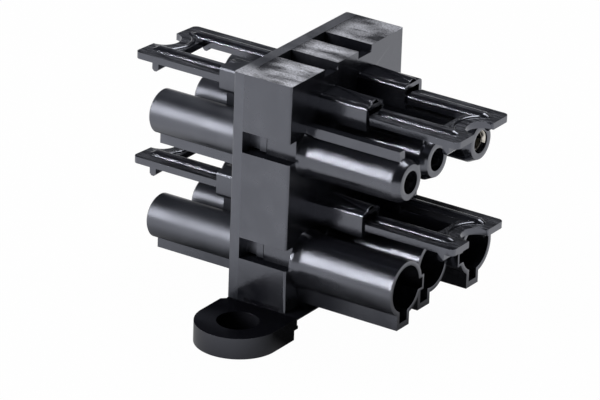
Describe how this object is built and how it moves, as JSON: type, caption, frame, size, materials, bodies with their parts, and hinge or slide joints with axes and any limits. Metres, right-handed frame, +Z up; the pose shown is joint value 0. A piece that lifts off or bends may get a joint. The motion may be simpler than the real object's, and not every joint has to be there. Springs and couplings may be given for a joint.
{
  "type": "installation splitter connector",
  "caption": "Distribution block that joins a pinned input port of open shrouds to socket output ports of closed barrels, with sprung latch frames and screw-down feet",
  "frame": {"origin": "on the underside, midway between the two screw holes of the feet", "axes": "+X towards the pinned input port, +Y across the poles away from the front foot, +Z up out of the mounting surface"},
  "size_m": [0.0596, 0.0576, 0.0411],
  "materials": {
    "housing": "glossy moulded, frosted on the column tops",
    "foot": "glossy moulded",
    "latch": "glossy moulded",
    "contact": "tin plated, satin",
    "busbar": "bare, satin"
  },
  "bodies": {
    "root": {"housing_body": "housing", "housing_cover": "housing", "foot_front": "foot", "foot_rear": "foot", "latch_upper_left": "latch", "latch_upper_right": "latch", "latch_lower_left": "latch", "latch_lower_right": "latch", "busbar_1": "busbar", "socket_upper_right_1": "contact", "socket_upper_left_1": "contact", "socket_lower_left_1": "contact", "pin_lower_right_1": "contact", "busbar_2": "busbar", "socket_upper_right_2": "contact", "socket_upper_left_2": "contact", "socket_lower_left_2": "contact", "pin_lower_right_2": "contact", "busbar_3": "busbar", "socket_upper_right_3": "contact", "socket_upper_left_3": "contact", "socket_lower_left_3": "contact", "pin_lower_right_3": "contact"}
  },
  "joints": []
}
